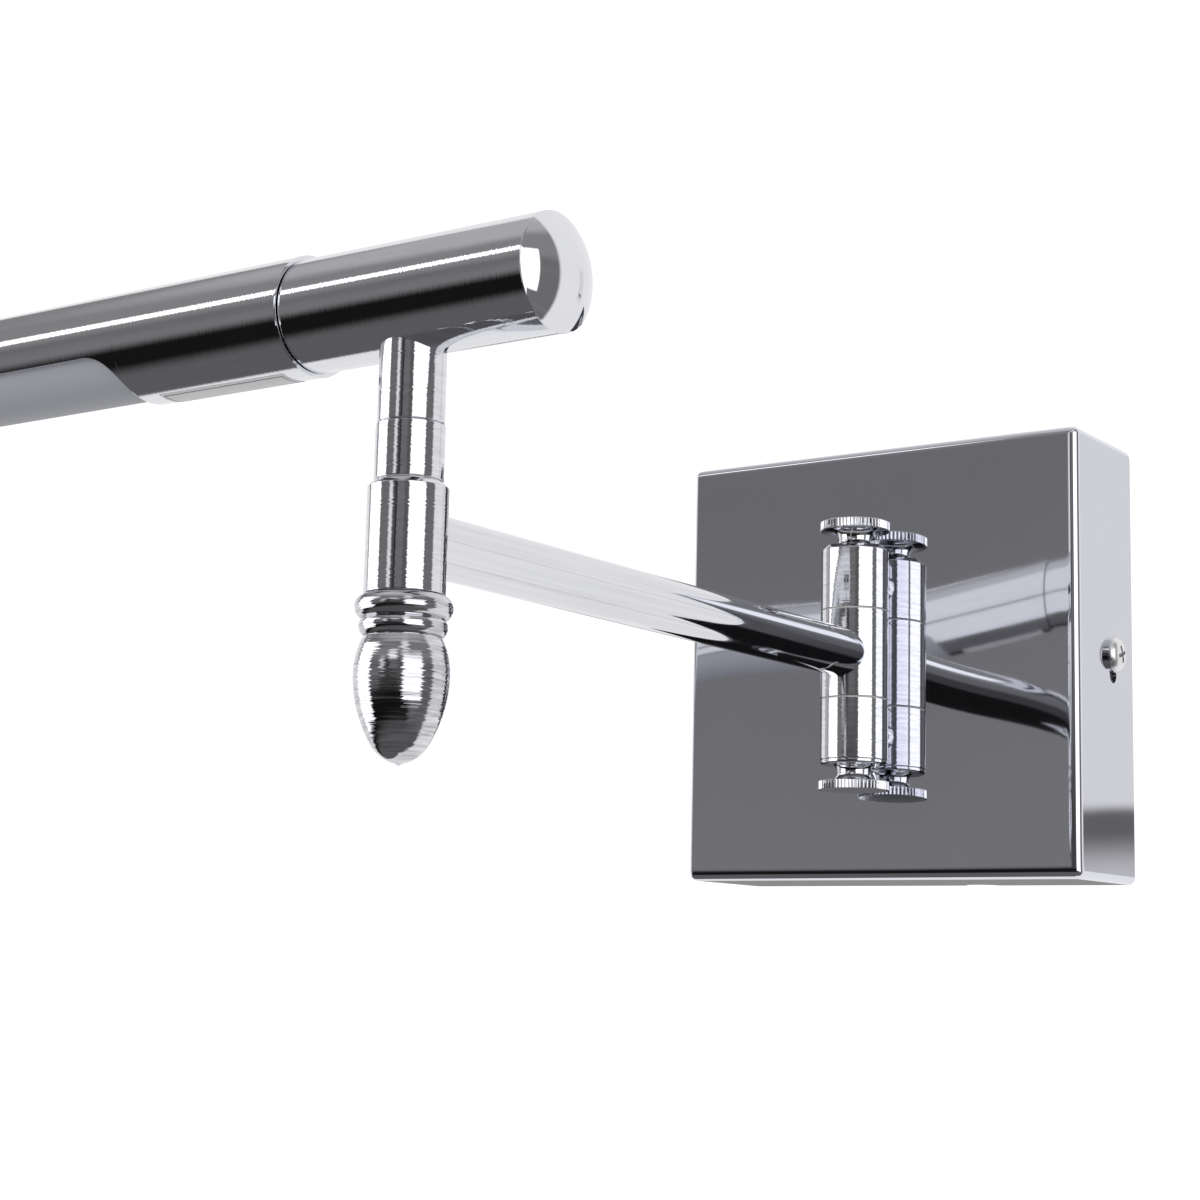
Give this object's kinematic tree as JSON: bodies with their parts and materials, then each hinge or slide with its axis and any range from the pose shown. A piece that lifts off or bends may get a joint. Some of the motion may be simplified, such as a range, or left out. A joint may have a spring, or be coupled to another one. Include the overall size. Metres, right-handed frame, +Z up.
{
  "type": "swing arm wall sconce",
  "caption": "Chromed swing arm wall light: square wall plate, knuckle barrel with knurled nuts, straight arm, turning post with acorn finial, slim tubular lamp with frosted window.",
  "frame": {"origin": "middle of the wall bracket's back, on the wall plane, midway between the two wall-screw slots", "axes": "+Y into the wall, along the wall screws; +Z up; the lamp lies along X, towards -X, and the arm stands out along -Y"},
  "size_m": [0.3872, 0.232, 0.1142],
  "materials": {
    "chrome_sheet": "mirror polished plating on folded steel sheet",
    "chrome_turned": "mirror polished plating on turned brass or steel, with faint lathe marks",
    "chrome_tube": "mirror polished plating on drawn tube, with faint lathe marks near its ends",
    "chrome_cap": "mirror polished plating on a pressed cap",
    "zinc_steel": "zinc plated",
    "steel_screw": "nickel plated",
    "spring_steel": "blued",
    "brass": "turned",
    "aluminium": "extruded or turned, bare",
    "nylon": "natural, satin",
    "rubber": "matt",
    "driver_case": "fine moulded grain",
    "terminal_plastic": "satin",
    "lead_supply": "insulation, satin",
    "lead_earth": "insulation, satin",
    "lead_output": "insulation, satin",
    "frosted_acrylic": "frosted, light comes through evenly",
    "board": "white solder mask",
    "led": "phosphor over chips",
    "sticker": "blank printed label with a thin border"
  },
  "bodies": {
    "wall": {"wall_cover": "chrome_sheet", "mounting_bracket": "zinc_steel", "inlet_grommet": "rubber", "side_washers": "chrome_turned", "side_screws": "steel_screw", "led_driver": "driver_case", "driver_screws": "steel_screw", "terminal_block": "terminal_plastic", "terminal_screws": "brass", "terminal_fixing_screw": "steel_screw", "earth_screw": "brass", "supply_leads": "lead_supply", "earth_lead": "lead_earth", "driver_lead": "lead_output", "upper_knuckle": "chrome_turned", "lower_knuckle": "chrome_turned", "lower_knuckle_ring": "chrome_turned", "knuckle_spacers": "chrome_turned", "knuckle_nipples": "zinc_steel", "nipple_washers": "zinc_steel", "nipple_nuts": "zinc_steel", "hinge_pin": "zinc_steel"},
    "arm": {"middle_knuckle": "chrome_turned", "upper_knuckle_bush": "nylon", "lower_knuckle_bush": "nylon", "arm_tube": "chrome_tube", "post_sleeve": "chrome_turned", "upper_sleeve_bush": "nylon", "lower_sleeve_bush": "nylon", "arm_lead": "lead_output"},
    "head": {"post_spindle": "zinc_steel", "post_collar": "chrome_turned", "post_stub": "chrome_turned", "friction_washer": "spring_steel", "finial_ring": "chrome_turned", "finial": "chrome_turned", "head_tube": "chrome_tube", "head_cap": "chrome_cap", "saddle_washer": "zinc_steel", "spindle_nut": "zinc_steel", "bearing_plate": "brass", "head_lead": "lead_output"},
    "lamp": {"lamp_shell": "chrome_tube", "diffuser": "frosted_acrylic", "lamp_spigot": "aluminium", "spigot_clip": "spring_steel", "seam_washer": "nylon", "heat_sink": "aluminium", "led_board": "board", "led_chips": "led", "board_screws": "steel_screw", "lamp_end_cap": "chrome_cap", "lamp_label": "sticker", "lamp_lead": "lead_output"},
    "upper_nut": {"upper_thumb_nut": "chrome_turned"},
    "lower_nut": {"lower_thumb_nut": "chrome_turned"}
  },
  "joints": [
    {"name": "arm_swing", "type": "hinge", "parent": "wall", "child": "arm", "pos_m": [0, -0.0442, 0], "axis": [0, 0, 1], "range_deg": [-80, 80]},
    {"name": "head_swivel", "type": "hinge", "parent": "arm", "child": "head", "pos_m": [0, -0.2198, 0], "axis": [0, 0, -1], "range_deg": [-90, 38]},
    {"name": "lamp_roll", "type": "hinge", "parent": "head", "child": "lamp", "pos_m": [-0.0255, -0.2198, 0.047], "axis": [1, 0, 0], "range_deg": [-165, 165]},
    {"name": "upper_nut_turn", "type": "hinge", "parent": "wall", "child": "upper_nut", "pos_m": [0, -0.0442, 0.0325], "axis": [0, 0, 1], "range_deg": [0, 360]},
    {"name": "lower_nut_turn", "type": "hinge", "parent": "wall", "child": "lower_nut", "pos_m": [0, -0.0442, -0.0325], "axis": [0, 0, -1], "range_deg": [0, 360]}
  ]
}
